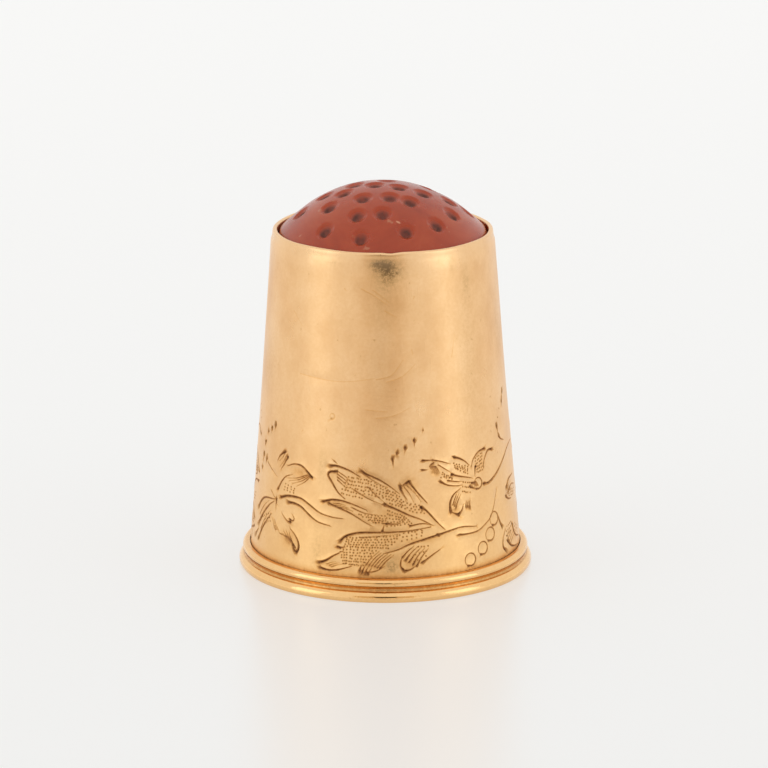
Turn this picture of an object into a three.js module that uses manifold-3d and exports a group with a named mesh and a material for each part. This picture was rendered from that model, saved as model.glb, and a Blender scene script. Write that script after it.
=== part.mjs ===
// A dress thimble: a tapered gold body with a moulded foot and a domed, pitted hardstone top.
// Units are millimetres. +Z is up, the foot stands on Z = 0, and Z is the thimble's own axis.

import * as THREE from 'three';
import { mergeVertices } from 'three/addons/utils/BufferGeometryUtils.js';
import Module from 'manifold-3d';

const wasm = await Module();
wasm.setup();

// Driving dimensions
const FOOT_RADIUS = 9.0;       // widest part of the foot roll
const LIP_HEIGHT = 21.05;      // top of the gold lip
const APEX_HEIGHT = 23.8;      // top of the stone
const DOME_RADIUS = 7.95;      // curvature of the stone's dome
const STONE_RADIUS = 6.32;     // the stone's upright edge
const WALL = 0.36;             // thickness of the gold sheet
const FILM = 0.05;             // solder or cement film between two seated pieces

// The body's outside: a taper with a slight hollow, and a lip that turns in a little at the top
const BODY = { baseRadius: 8.41, taper: 0.0885, hollow: 0.00045 };
const BODY_FOOT_HEIGHT = 0.1;  // the body's lower edge is held just clear of the ground by the roll
const LIP = { innerRadius: 6.4, thickness: 0.28, turnHeight: 20.35 };
const BORE = { radius: 6.5, top: 20.4 };  // the stone's seat, a little wider than the lip over it

// The foot's two mouldings, each a round wire set against the body
const ROLL = { radius: 0.38, height: 0.25 };
const BEAD = { radius: 0.27, height: 1.08, ringRadius: 8.5 };

// The stone's seat: a ledge, and a washer of cement turned up round the stone's edge
const LEDGE = { top: 19.3, depth: 0.7, innerRadius: 5.4 };
const CEMENT = { thickness: 0.1, innerRadius: 5.6, top: 20.3, wall: 0.08 };

// Needle pits in hand-spaced rings round the dome: [distance from the axis, bearings in degrees]
const PIT = { radius: 0.58, depth: 0.3 };
const PIT_RINGS = [
  [5.1, [-174, -131, -104, -74, -49, -24, 4, 32, 58, 86, 112, 140, 165]],
  [3.9, [-147, -112, -89, -3, 26, 57, 90, 121, 151, 179]],
  [2.6, [-158, -118, -79, -54, -20, 22, 64, 106, 150]],
  [1.0, [-145, -33, 76]],
];

// How finely round stretches are cut
const FINE = { sides: 60, arcSteps: 6 };
const COARSE = { sides: 8, arcSteps: 2 };
const TAPER_STEPS = 5;

const domeCentreHeight = APEX_HEIGHT - DOME_RADIUS;

function bodyRadius(height) {
  return BODY.baseRadius - BODY.taper * height + BODY.hollow * height ** 2;
}

// A solid turned from an outline of radius (x) against height (y).
function turn(outline, cut = FINE) {
  return new THREE.LatheGeometry(outline.getPoints(cut.arcSteps), cut.sides).rotateX(Math.PI / 2);
}

function piece(name, geometry, material) {
  const mesh = new THREE.Mesh(geometry, material);
  mesh.name = name;
  return mesh;
}

// A stretch of the body's taper, standing off from the outside by a distance.
function followTaper(outline, fromHeight, toHeight, offset) {
  for (let step = 0; step <= TAPER_STEPS; step += 1) {
    const height = THREE.MathUtils.lerp(fromHeight, toHeight, step / TAPER_STEPS);
    outline.lineTo(bodyRadius(height) + offset, height);
  }
}

// The tapered tube. Its wall thins into a rounded lip that stands up round the stone.
function bodyShell() {
  const lipRound = LIP.thickness / 2;
  const lipMiddle = LIP.innerRadius + lipRound;
  const lipCentreHeight = LIP_HEIGHT - lipRound;
  const outline = new THREE.Path();
  outline.moveTo(bodyRadius(BODY_FOOT_HEIGHT) - WALL, BODY_FOOT_HEIGHT);
  followTaper(outline, BODY_FOOT_HEIGHT, LIP.turnHeight, 0);
  outline.lineTo(lipMiddle + lipRound, lipCentreHeight);
  outline.absarc(lipMiddle, lipCentreHeight, lipRound, 0, Math.PI, false);
  outline.lineTo(LIP.innerRadius, BORE.top + 0.1);
  outline.lineTo(BORE.radius, BORE.top);
  outline.lineTo(BORE.radius, LEDGE.top);
  followTaper(outline, LEDGE.top - LEDGE.depth, BODY_FOOT_HEIGHT, -WALL);
  return turn(outline);
}

// The ledge soldered inside the upper end, which carries the stone.
function seatRing() {
  const outerRadius = BORE.radius - FILM;
  const bottom = LEDGE.top - LEDGE.depth;
  const outline = new THREE.Path();
  outline.moveTo(LEDGE.innerRadius, bottom);
  outline.lineTo(outerRadius, bottom);
  outline.lineTo(outerRadius, LEDGE.top);
  outline.lineTo(LEDGE.innerRadius, LEDGE.top);
  outline.closePath();
  return turn(outline);
}

function settingCement() {
  const bottom = LEDGE.top + FILM;
  const outerRadius = BORE.radius - FILM;
  const outline = new THREE.Path();
  outline.moveTo(CEMENT.innerRadius, bottom);
  outline.lineTo(outerRadius, bottom);
  outline.lineTo(outerRadius, CEMENT.top);
  outline.lineTo(outerRadius - CEMENT.wall, CEMENT.top);
  outline.lineTo(outerRadius - CEMENT.wall, bottom + CEMENT.thickness);
  outline.lineTo(CEMENT.innerRadius, bottom + CEMENT.thickness);
  outline.closePath();
  return turn(outline);
}

// The foot's large roll. It is cut flat underneath, where the thimble stands.
function rimRoll() {
  const ringRadius = FOOT_RADIUS - ROLL.radius;
  const bottomAngle = -Math.asin(ROLL.height / ROLL.radius);
  const top = ROLL.height + ROLL.radius;
  const outline = new THREE.Path();
  outline.moveTo(bodyRadius(0) + FILM, 0);
  outline.lineTo(ringRadius + ROLL.radius * Math.cos(bottomAngle), 0);
  outline.absarc(ringRadius, ROLL.height, ROLL.radius, bottomAngle, Math.PI / 2, false);
  outline.lineTo(bodyRadius(top) + FILM, top);
  outline.closePath();
  return turn(outline);
}

function rimBead() {
  const bottom = BEAD.height - BEAD.radius;
  const top = BEAD.height + BEAD.radius;
  const outline = new THREE.Path();
  outline.moveTo(bodyRadius(bottom) + FILM, bottom);
  outline.lineTo(BEAD.ringRadius, bottom);
  outline.absarc(BEAD.ringRadius, BEAD.height, BEAD.radius, -Math.PI / 2, Math.PI / 2, false);
  outline.lineTo(bodyRadius(top) + FILM, top);
  outline.closePath();
  return turn(outline);
}

// The stone before its pits are drilled.
function domedBlank() {
  const bottom = LEDGE.top + 2 * FILM + CEMENT.thickness;
  const edgeAngle = Math.acos(STONE_RADIUS / DOME_RADIUS);
  const outline = new THREE.Path();
  outline.moveTo(0, bottom);
  outline.lineTo(STONE_RADIUS, bottom);
  outline.absarc(0, domeCentreHeight, DOME_RADIUS, edgeAngle, Math.PI / 2, false);
  return turn(outline);
}

// A bur with a dished nose, standing square on the dome at the given place.
function pitCutter(distance, bearing) {
  const outline = new THREE.Path();
  outline.moveTo(0, -PIT.depth);
  outline.quadraticCurveTo(PIT.radius / 2, -PIT.depth, PIT.radius, 0);
  outline.lineTo(PIT.radius, PIT.radius);
  outline.lineTo(0, PIT.radius);
  const tilt = Math.asin(distance / DOME_RADIUS);
  return turn(outline, COARSE)
    .translate(0, 0, DOME_RADIUS)
    .rotateY(tilt)
    .rotateZ(THREE.MathUtils.degToRad(bearing))
    .translate(0, 0, domeCentreHeight);
}

function toSolid(geometry) {
  const bare = geometry.clone();
  bare.deleteAttribute('normal');
  bare.deleteAttribute('uv');
  const merged = mergeVertices(bare);
  return new wasm.Manifold(new wasm.Mesh({
    numProp: 3,
    vertProperties: new Float32Array(merged.attributes.position.array),
    triVerts: new Uint32Array(merged.index.array),
  }));
}

function toGeometry(solid) {
  const mesh = solid.getMesh();
  const geometry = new THREE.BufferGeometry();
  geometry.setAttribute('position', new THREE.BufferAttribute(mesh.vertProperties, 3));
  geometry.setIndex(new THREE.BufferAttribute(mesh.triVerts, 1));
  geometry.computeVertexNormals();
  return geometry;
}

function stoneTop() {
  let stone = toSolid(domedBlank());
  for (const [distance, bearings] of PIT_RINGS) {
    for (const bearing of bearings) {
      stone = stone.subtract(toSolid(pitCutter(distance, bearing)));
    }
  }
  return toGeometry(stone);
}

const gold = new THREE.MeshStandardMaterial({ color: 0xe6b478, roughness: 0.35, metalness: 1.0 });
const hardstone = new THREE.MeshStandardMaterial({ color: 0x99492f, roughness: 0.22, metalness: 0.0 });
const cement = new THREE.MeshStandardMaterial({ color: 0x3a2a20, roughness: 0.9, metalness: 0.0 });

const thimble = new THREE.Group();
thimble.add(piece('body_shell', bodyShell(), gold));
thimble.add(piece('seat_ring', seatRing(), gold));
thimble.add(piece('setting_cement', settingCement(), cement));
thimble.add(piece('stone_top', stoneTop(), hardstone));
thimble.add(piece('rim_bead', rimBead(), gold));
thimble.add(piece('rim_roll', rimRoll(), gold));

export default thimble;
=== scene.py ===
"""A gold dress thimble: engraved body, moulded foot and pitted hardstone top, built round its CAD frame."""

import math
import random

import bmesh
import bpy
import numpy as np
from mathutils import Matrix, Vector
from mathutils.geometry import delaunay_2d_cdt


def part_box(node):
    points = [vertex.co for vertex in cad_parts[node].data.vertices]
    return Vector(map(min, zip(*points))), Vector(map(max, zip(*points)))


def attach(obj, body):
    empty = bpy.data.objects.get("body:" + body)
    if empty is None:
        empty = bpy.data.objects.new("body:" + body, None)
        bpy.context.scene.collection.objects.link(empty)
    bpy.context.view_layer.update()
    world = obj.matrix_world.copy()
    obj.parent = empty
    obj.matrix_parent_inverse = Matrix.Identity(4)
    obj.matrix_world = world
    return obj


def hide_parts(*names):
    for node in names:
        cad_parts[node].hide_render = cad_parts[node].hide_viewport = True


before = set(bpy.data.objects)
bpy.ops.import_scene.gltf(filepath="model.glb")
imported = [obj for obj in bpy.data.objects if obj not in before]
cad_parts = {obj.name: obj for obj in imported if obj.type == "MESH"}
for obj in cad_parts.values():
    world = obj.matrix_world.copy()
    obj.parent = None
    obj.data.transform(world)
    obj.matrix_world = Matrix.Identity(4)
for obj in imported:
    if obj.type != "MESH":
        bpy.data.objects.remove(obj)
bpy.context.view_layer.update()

# ---------------------------------------------------------------- sizes, in millimetres
MM = 0.001


def cad_size(node):
    """Lowest height, highest height and outer radius of a turned CAD node, in millimetres."""
    low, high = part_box(node)
    return low.z / MM, high.z / MM, high.x / MM


SHELL_FOOT, LIP_HEIGHT, SHELL_FOOT_RADIUS = cad_size("body_shell")
BEAD_BOTTOM, BEAD_TOP, BEAD_OUTER = cad_size("rim_bead")
ROLL_BOTTOM, ROLL_TOP, ROLL_OUTER = cad_size("rim_roll")
LEDGE_BOTTOM, LEDGE_TOP, LEDGE_OUTER = cad_size("seat_ring")
CEMENT_BOTTOM, CEMENT_TOP, CEMENT_OUTER = cad_size("setting_cement")
STONE_BOTTOM, APEX_HEIGHT, STONE_RADIUS = cad_size("stone_top")

WALL = 0.36                # thickness of the gold sheet
TAPER = 0.0885             # how much the body narrows for each millimetre of height
HOLLOW = 0.00045           # and its slight hollow, for each square millimetre of height
LIP_INNER_RADIUS = 6.4
LIP_THICKNESS = 0.28
LIP_TURN_HEIGHT = 20.35    # where the lip starts to turn in
LIP_WAVER = 0.05           # how far its edge rises and falls
NICK_PLACE = 0.6           # a dint in the lip's edge, by its distance round from the front
NICK_DEPTH = 0.07
NICK_HALF_WIDTH = 0.8
BORE_TOP = 20.4            # the seat's bore ends here, and the lip closes in over it
FILM = CEMENT_BOTTOM - LEDGE_TOP
BORE_RADIUS = LEDGE_OUTER + FILM
LEDGE_INNER_RADIUS = 5.4
CEMENT_INNER_RADIUS = 5.6
CEMENT_WALL = 0.08
DOME_RADIUS = 7.95
BODY_RADIUS_AT_GROUND = SHELL_FOOT_RADIUS + TAPER * SHELL_FOOT - HOLLOW * SHELL_FOOT**2
BEAD_RADIUS = (BEAD_TOP - BEAD_BOTTOM) / 2
BEAD_HEIGHT = (BEAD_TOP + BEAD_BOTTOM) / 2
ROLL_RADIUS = 0.38
ROLL_HEIGHT = ROLL_TOP - ROLL_RADIUS
DOME_CENTRE = APEX_HEIGHT - DOME_RADIUS
LEAN = 0.0075              # the body stands this much out of true, per millimetre of height

# The engraving is laid out on the flat: distance round the body at this radius, and height.
GIRTH_RADIUS = 8.0
GIRTH = 2 * math.pi * GIRTH_RADIUS
SEAM = 12.0                # where the flat sheet is joined, at the right-hand side


def body_radius(height):
    return BODY_RADIUS_AT_GROUND - TAPER * height + HOLLOW * height**2


# ---------------------------------------------------------------- mesh helpers
def arc(centre_radius, centre_height, radius, start, end, steps):
    """Points of an arc in an outline of radius against height; angles in degrees."""
    angles = np.radians(np.linspace(start, end, steps + 1))
    return [(centre_radius + radius * math.cos(a), centre_height + radius * math.sin(a)) for a in angles]


def around(radius, height, girth):
    """Places on the thimble. girth is the distance round from the front, at GIRTH_RADIUS."""
    bearing = np.asarray(girth) / GIRTH_RADIUS
    radius = np.asarray(radius, float)
    height = np.asarray(height, float)
    x = radius * np.sin(bearing) - LEAN * height
    y = -radius * np.cos(bearing)
    return np.stack(np.broadcast_arrays(x, y, height), axis=-1)


def axis_distance(verts):
    return np.hypot(verts[:, 0] + LEAN * verts[:, 2], verts[:, 1])


def ring_faces(first, rings, columns, closed=False):
    """Faces between neighbouring rings of vertices. A closed set joins its last ring to its first."""
    faces = []
    for ring in range(rings if closed else rings - 1):
        for column in range(columns):
            near, far = ring * columns + column, ring * columns + (column + 1) % columns
            corners = near, far, far + columns, near + columns
            faces.append([first + corner % (rings * columns) for corner in corners])
    return faces


def turned(outline, columns, wobble):
    """Vertices and faces of a closed outline of (radius, height), turned round the axis."""
    outline = np.array(outline, float)
    girth = np.arange(columns) * GIRTH / columns
    radius = outline[:, 0][:, None] + np.zeros(columns)
    height = outline[:, 1][:, None] + np.zeros(columns)
    verts = around(*wobble(radius, height, girth), girth).reshape(-1, 3)
    return verts, ring_faces(0, len(outline), columns, closed=True)


def make_piece(name, verts, faces, material, node, slot, sharp=40, weld=0.0, **layers):
    """A piece of the thimble. Its layers say how marked each vertex is, from 0 to 1."""
    mesh = bpy.data.meshes.new(name)
    mesh.from_pydata((np.asarray(verts) * MM).tolist(), [], [tuple(face) for face in faces])
    for layer, values in layers.items():
        mesh.attributes.new(layer, "FLOAT", "POINT").data.foreach_set("value", values)
    bm = bmesh.new()
    bm.from_mesh(mesh)
    if weld:
        bmesh.ops.remove_doubles(bm, verts=bm.verts, dist=weld * MM)
    bmesh.ops.recalc_face_normals(bm, faces=bm.faces)
    bm.to_mesh(mesh)
    bm.free()
    mesh.polygons.foreach_set("use_smooth", [True] * len(mesh.polygons))
    mesh.set_sharp_from_angle(angle=math.radians(sharp))
    mesh.materials.append(material)
    piece = bpy.data.objects.new(name, mesh)
    bpy.context.collection.objects.link(piece)
    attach(piece, "root")
    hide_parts(node)
    return piece


def waves(seed, count, lowest, highest, size):
    """A smooth random function of bearing and height, for hand-made unevenness."""
    rng = random.Random(seed)
    terms = []
    for _ in range(count):
        turns, climb = rng.randint(lowest, highest), rng.uniform(-0.8, 0.8)
        terms.append((turns, climb, rng.uniform(0, 2 * math.pi), rng.uniform(0.4, 1)))
    total = sum(term[3] for term in terms)

    def value(girth, height):
        bearing = girth / GIRTH_RADIUS
        result = 0.0
        for turns, climb, phase, weight in terms:
            result = result + weight * np.sin(turns * bearing + climb * height + phase)
        return size * result / total

    return value


# ---------------------------------------------------------------- the engraving
# Each motif is drawn mark by mark. Places are (distance round from the front, height), in millimetres.
# A line is (width, points); the graver enters at the first point and lifts out at the last.
# A hatch is (width, count, first line's two ends, last line's two ends).
# A patch of punched dots is (rows, dots in a row, first row's ends, last row's ends).
# A ring is (centre, radius).
UPPER_LEAF = {
    "lines": [
        (0.19, [(-3.5, 8.0), (-3.0, 8.05), (-2.2, 7.85), (-1.5, 7.5)]),
        (0.19, [(-3.05, 7.7), (-3.45, 7.65), (-3.6, 7.45), (-3.3, 7.0), (-2.9, 6.45), (-2.45, 6.1)]),
        (0.17, [(-1.45, 7.87), (-1.05, 7.66), (-0.3, 7.35), (0.4, 6.9), (0.9, 6.5)]),
        (0.08, [(-1.3, 7.7), (-0.5, 7.2), (0.2, 6.9)]), (0.08, [(-1.9, 6.7), (-1.0, 6.2), (0.0, 5.8)]),
        (0.08, [(-1.0, 6.9), (-0.5, 6.4), (0.1, 5.9)]),
        (0.17, [(0.0, 5.85), (0.7, 5.55), (1.5, 5.15), (2.2, 4.85), (2.9, 4.45)]),
        (0.11, [(1.5, 4.5), (2.3, 4.6), (3.0, 4.4)]),
        (0.19, [(-3.95, 5.75), (-3.3, 5.95), (-2.6, 5.95), (-1.8, 5.75), (-1.1, 5.5)]),
        (0.15, [(-3.5, 5.7), (-2.8, 5.5), (-2.0, 5.2), (-1.2, 4.75), (-0.8, 4.55)]),
        (0.08, [(-2.0, 5.6), (-1.2, 5.3), (-0.2, 5.2)]), (0.13, [(-0.15, 4.2), (-0.05, 4.6)]),
        (0.12, [(0.1, 4.68), (0.6, 4.66), (1.15, 4.75)]), (0.18, [(1.5, 7.2), (1.95, 6.6), (2.6, 5.85)]),
        (0.22, [(1.5, 7.22), (1.25, 7.08), (0.95, 6.9)]),
        (0.17, [(0.95, 6.95), (1.05, 6.6), (1.35, 6.15)]),
        (0.16, [(2.25, 5.6), (2.45, 5.45), (2.7, 5.2), (3.3, 4.5), (3.7, 4.1)]),
        (0.08, [(-3.2, 8.35), (-3.0, 8.2)]),
    ],
    "hatches": [
        (0.08, 4, (-3.0, 7.75), (-2.0, 7.1), (-2.95, 7.2), (-2.3, 6.6)),
        (0.08, 3, (1.35, 7.0), (2.2, 6.0), (0.95, 6.9), (1.3, 6.0)),
        (0.08, 3, (-3.2, 5.75), (-2.4, 5.7), (-2.9, 5.55), (-2.0, 5.4)),
    ],
    "dots": [
        (6, 8, (-2.2, 7.45), (-1.1, 7.35), (-2.7, 6.45), (-1.4, 6.2)),
        (5, 7, (-0.95, 7.3), (0.1, 6.85), (-1.2, 6.5), (0.1, 6.2)),
        (5, 6, (0.2, 6.75), (0.9, 6.35), (0.3, 5.95), (1.2, 5.6)),
        (4, 9, (-1.6, 5.2), (0.0, 5.15), (-0.7, 4.75), (0.1, 4.7)),
        (5, 8, (0.15, 5.5), (1.2, 5.1), (0.15, 4.55), (1.6, 4.65)),
        (4, 5, (1.15, 6.0), (2.1, 5.75), (1.5, 5.45), (2.4, 5.2)),
        (1, 3, (1.4, 4.1), (2.2, 4.15), (1.4, 4.1), (2.2, 4.15)),
    ],
}
SCATTERED_DIGS = {
    "lines": [
        (0.14, [(0.5, 8.65), (0.55, 8.2)]), (0.17, [(8.85, 9.5), (8.95, 9.1)]),
        (0.14, [(9.05, 8.85), (9.3, 8.6), (9.8, 8.4)]), (0.07, [(-9.1, 7.2), (-8.5, 6.9), (-7.9, 6.6)]),
        (0.22, [(1.92, 9.72), (1.9, 9.5)]), (0.19, [(1.32, 9.28), (1.3, 9.1)]),
        (0.19, [(0.8, 9.0), (0.75, 8.86)]), (0.09, [(2.5, 10.28), (2.49, 10.2)]),
        (0.15, [(9.95, 10.8), (9.9, 10.6)]), (0.15, [(10.25, 11.35), (10.15, 11.15)]),
        (0.20, [(-8.35, 9.68), (-8.38, 9.42)]), (0.18, [(-8.8, 9.35), (-8.84, 9.15)]),
        (0.15, [(-9.3, 9.08), (-9.33, 8.94)]), (0.20, [(-9.65, 8.36), (-9.7, 8.1)]),
        (0.22, [(-9.82, 7.5), (-9.86, 7.22)]), (0.22, [(-9.3, 7.4), (-9.38, 7.14)]),
        (0.16, [(-9.98, 6.68), (-10.0, 6.5)]),
    ],
    "dots": [(1, 2, (9.1, 9.95), (9.45, 10.45), (9.1, 9.95), (9.45, 10.45))],
}
LOWER_LEAF = {
    "lines": [
        (0.19, [(-2.75, 3.45), (-2.3, 3.85), (-1.4, 4.1), (0.0, 4.15), (1.3, 4.2), (2.8, 4.35)]),
        (0.08, [(-1.5, 3.8), (-0.5, 3.9), (0.8, 4.05)]), (0.17, [(-2.9, 3.1), (-2.4, 3.12)]),
        (0.20, [(-4.05, 2.0), (-3.6, 2.2), (-3.1, 2.55), (-2.5, 2.9)]),
        (0.19, [(-4.0, 1.7), (-3.4, 1.63), (-2.8, 1.72), (-2.0, 2.0)]),
        (0.11, [(-1.1, 1.65), (-0.5, 1.8), (0.0, 2.1)]),
        (0.18, [(3.3, 3.8), (2.5, 3.65), (1.5, 3.4), (0.8, 3.1), (-0.1, 2.85)]),
        (0.15, [(3.2, 3.8), (4.3, 4.0), (5.0, 4.05), (6.0, 3.9)]),
        (0.17, [(1.1, 1.75), (0.9, 2.1), (0.95, 2.5)]), (0.14, [(1.1, 1.75), (1.5, 1.85), (1.8, 2.05)]),
        (0.14, [(2.2, 2.2), (2.8, 2.6), (3.4, 2.95)]),
    ],
    "hatches": [
        (0.12, 4, (-1.5, 1.78), (-1.35, 2.15), (-1.0, 1.55), (-0.8, 1.95)),
        (0.10, 6, (-1.1, 2.15), (-0.4, 2.95), (-0.3, 1.95), (0.5, 2.75)),
        (0.11, 5, (1.02, 2.6), (1.7, 3.25), (1.85, 2.0), (2.6, 3.05)),
        (0.05, 3, (-3.5, 2.0), (-2.95, 2.2), (-3.2, 1.85), (-2.5, 2.1)),
    ],
    "dots": [
        (5, 17, (-2.3, 3.75), (0.9, 3.95), (-2.4, 3.2), (0.2, 3.2)),
        (6, 11, (-2.7, 3.0), (-0.5, 3.05), (-2.5, 2.15), (-1.3, 2.1)),
        (3, 5, (1.1, 4.1), (2.2, 4.25), (1.0, 3.6), (2.2, 3.85)),
        (3, 4, (1.95, 3.2), (2.6, 3.2), (1.7, 2.3), (2.4, 2.6)),
    ],
}
BERRIES = {
    "lines": [
        (0.12, [(4.7, 3.6), (5.5, 3.55), (6.2, 3.6), (6.8, 3.85), (7.4, 4.2), (7.8, 4.8), (8.2, 5.6)]),
        (0.20, [(8.6, 3.25), (8.35, 3.6), (8.1, 4.2)]),
    ],
    "rings": [((7.7, 4.0), 0.42), ((7.2, 3.15), 0.42), ((6.45, 2.45), 0.40), ((5.4, 1.95), 0.40)],
}
SMALL_FLOWER = {
    "lines": [
        (0.16, [(7.25, 8.46), (6.7, 8.4), (6.35, 8.23), (6.05, 7.95), (5.95, 7.7)]),
        (0.16, [(8.05, 8.24), (7.55, 8.28), (7.2, 7.92), (7.05, 7.6), (7.03, 7.3)]),
        (0.13, [(6.27, 7.55), (6.2, 7.25), (6.18, 7.0)]),
        (0.16, [(4.6, 8.38), (5.0, 8.25), (5.4, 8.02), (5.7, 7.75)]),
        (0.14, [(2.4, 8.42), (2.75, 8.42), (3.1, 8.4)]), (0.11, [(3.05, 8.4), (3.6, 8.27), (4.3, 8.02)]),
        (0.13, [(3.12, 8.2), (2.85, 8.06), (3.0, 7.85)]), (0.08, [(3.45, 8.07), (4.0, 7.7), (4.5, 7.38)]),
        (0.14, [(4.35, 7.36), (4.9, 7.18), (5.5, 7.02), (5.9, 6.9)]), (0.11, [(2.35, 7.86), (2.7, 7.85)]),
        (0.13, [(3.55, 7.03), (4.0, 6.77), (4.6, 6.63), (5.1, 6.6)]),
        (0.10, [(4.05, 7.03), (4.6, 6.9), (5.2, 6.8)]), (0.15, [(5.75, 6.42), (6.1, 6.2), (6.45, 6.15)]),
        (0.18, [(4.15, 5.1), (4.15, 5.65), (4.4, 6.1), (4.9, 6.4)]),
        (0.15, [(4.72, 4.82), (4.4, 4.98), (4.2, 5.1)]), (0.15, [(4.7, 4.85), (4.95, 5.05), (5.1, 5.4)]),
        (0.18, [(6.95, 6.33), (7.4, 6.3), (8.0, 6.5), (8.6, 6.8), (9.5, 7.35), (10.2, 7.75),
            (11.0, 7.97), (11.6, 7.97)]),
    ],
    "hatches": [
        (0.09, 4, (2.95, 8.05), (3.2, 7.55), (3.25, 8.0), (3.5, 7.6)),
        (0.10, 4, (5.85, 6.6), (6.25, 6.3), (6.2, 6.6), (6.45, 6.3)),
        (0.09, 3, (4.35, 5.5), (4.7, 6.2), (4.55, 5.3), (4.95, 6.05)),
        (0.10, 3, (5.3, 5.2), (5.35, 5.6), (5.6, 5.15), (5.65, 5.65)),
    ],
    "dots": [
        (4, 6, (4.55, 8.0), (5.6, 7.65), (4.7, 7.65), (5.6, 7.25)),
        (3, 5, (3.7, 7.55), (4.3, 7.2), (3.6, 7.3), (4.4, 7.1)),
        (6, 5, (6.3, 8.05), (6.95, 8.25), (6.4, 7.15), (6.9, 7.2)),
        (3, 5, (5.2, 6.75), (5.8, 6.65), (5.1, 6.2), (5.7, 6.05)),
    ],
    "rings": [((6.4, 6.48), 0.35)],
}
RIGHT_LEAVES = {
    "lines": [
        (0.18, [(9.6, 5.45), (10.1, 5.85), (11.1, 5.95)]), (0.17, [(9.45, 4.95), (9.8, 4.7), (10.3, 4.6)]),
        (0.11, [(10.1, 5.2), (10.6, 5.4), (11.5, 5.2)]),
        (0.19, [(9.2, 2.2), (9.55, 1.85), (10.2, 1.6), (11.0, 1.5)]),
        (0.20, [(10.15, 2.95), (10.35, 2.45), (10.8, 2.1), (11.5, 1.9)]),
        (0.20, [(8.85, 1.7), (8.5, 2.0), (8.55, 2.5), (8.85, 2.9)]),
    ],
    "hatches": [
        (0.08, 4, (9.7, 5.4), (10.3, 5.8), (9.8, 5.0), (10.6, 5.2)),
        (0.08, 4, (9.1, 2.5), (9.7, 2.9), (9.6, 2.0), (10.2, 2.3)),
    ],
    "dots": [
        (3, 6, (9.9, 5.15), (11.2, 5.0), (10.0, 4.8), (11.0, 4.7)),
        (4, 4, (9.2, 3.1), (9.9, 3.2), (9.0, 2.3), (9.6, 2.5)),
        (3, 3, (10.7, 2.9), (11.3, 2.6), (10.5, 2.5), (11.2, 2.2)),
    ],
}
LEFT_FLOWER = {
    "lines": [
        (0.19, [(-7.35, 5.4), (-6.6, 5.65), (-5.6, 5.7), (-4.9, 5.45), (-4.1, 5.05), (-3.3, 4.9),
            (-2.6, 4.87)]),
        (0.19, [(-6.6, 5.25), (-6.1, 5.3), (-5.5, 5.2), (-5.0, 4.9), (-4.5, 4.6), (-4.1, 4.45),
            (-3.4, 4.35)]),
        (0.19, [(-4.75, 7.1), (-5.1, 7.4), (-5.6, 7.7), (-6.2, 7.7), (-6.75, 7.5)]),
        (0.16, [(-7.2, 8.25), (-7.6, 7.95), (-7.85, 7.6)]),
        (0.16, [(-6.85, 8.0), (-7.15, 7.5), (-7.4, 7.2)]),
        (0.14, [(-6.3, 4.05), (-6.6, 4.1), (-7.1, 4.45)]),
        (0.12, [(-6.4, 4.25), (-6.1, 4.2), (-6.0, 4.4), (-6.2, 4.6)]),
        (0.20, [(-5.75, 2.3), (-5.95, 2.5), (-6.1, 2.9), (-6.5, 3.1), (-7.2, 3.2)]),
        (0.19, [(-5.75, 2.3), (-5.55, 2.6), (-5.6, 3.0), (-5.9, 3.4), (-6.3, 3.7)]),
        (0.19, [(-10.15, 4.1), (-9.6, 4.7), (-9.0, 5.0), (-7.9, 5.15)]),
        (0.19, [(-9.95, 3.1), (-9.3, 3.9), (-8.6, 4.6), (-8.0, 5.0)]),
        (0.19, [(-9.8, 2.2), (-9.2, 3.1), (-8.3, 4.1)]), (0.19, [(-10.4, 2.3), (-9.9, 2.8)]),
        (0.15, [(-7.75, 5.25), (-7.75, 4.6)]), (0.06, [(-8.4, 5.6), (-8.0, 5.3), (-7.6, 4.9)]),
        (0.13, [(-7.65, 5.85), (-7.3, 6.4), (-6.9, 6.8), (-6.4, 7.0)]),
    ],
    "hatches": [
        (0.07, 4, (-4.85, 7.15), (-5.9, 6.4), (-4.95, 7.3), (-6.9, 6.7)),
        (0.06, 2, (-6.98, 8.08), (-7.5, 7.35), (-7.1, 8.2), (-7.65, 7.6)),
        (0.11, 4, (-5.8, 2.6), (-6.4, 3.5), (-6.0, 2.8), (-7.0, 3.3)),
        (0.08, 3, (-7.4, 3.4), (-7.8, 3.9), (-7.65, 3.3), (-8.0, 3.8)),
        (0.06, 3, (-9.7, 3.9), (-8.6, 4.9), (-9.5, 2.9), (-8.4, 4.3)),
    ],
    "dots": [
        (3, 4, (-6.9, 6.35), (-6.1, 6.2), (-7.0, 5.95), (-6.2, 5.9)),
        (3, 4, (-9.3, 3.7), (-8.6, 4.1), (-9.0, 3.4), (-8.3, 3.7)),
    ],
}
# Hairline scratches and pricks from use, on the plain part.
SCRATCHES = {
    "lines": [
        (0.06, [(-1.5, 18.9), (-0.6, 18.5), (0.3, 17.95)]),
        (0.05, [(-0.7, 18.85), (0.0, 18.4), (0.4, 18.1)]), (0.05, [(0.1, 17.6), (0.9, 17.2)]),
        (0.04, [(-0.5, 11.1), (0.6, 11.25), (1.7, 11.7)]), (0.04, [(-1.2, 11.6), (0.2, 11.5)]),
        (0.04, [(-6.0, 13.3), (-3.0, 13.2), (-0.6, 13.5)]),
        (0.05, [(-0.5, 13.45), (0.5, 13.7), (1.3, 14.6)]), (0.04, [(0.2, 13.3), (1.2, 13.6), (2.1, 14.3)]),
        (0.04, [(4.8, 14.5), (5.1, 15.8)]), (0.04, [(-6.9, 17.0), (-6.0, 16.2)]),
        (0.05, [(1.9, 15.2), (1.95, 14.9)]), (0.06, [(-2.7, 18.85), (-2.6, 18.75)]),
        (0.06, [(2.15, 18.4), (2.1, 18.25)]), (0.05, [(-5.6, 9.9), (-5.7, 9.8)]),
    ],
    "rings": [((-3.4, 11.05), 0.17)],
}
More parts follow.
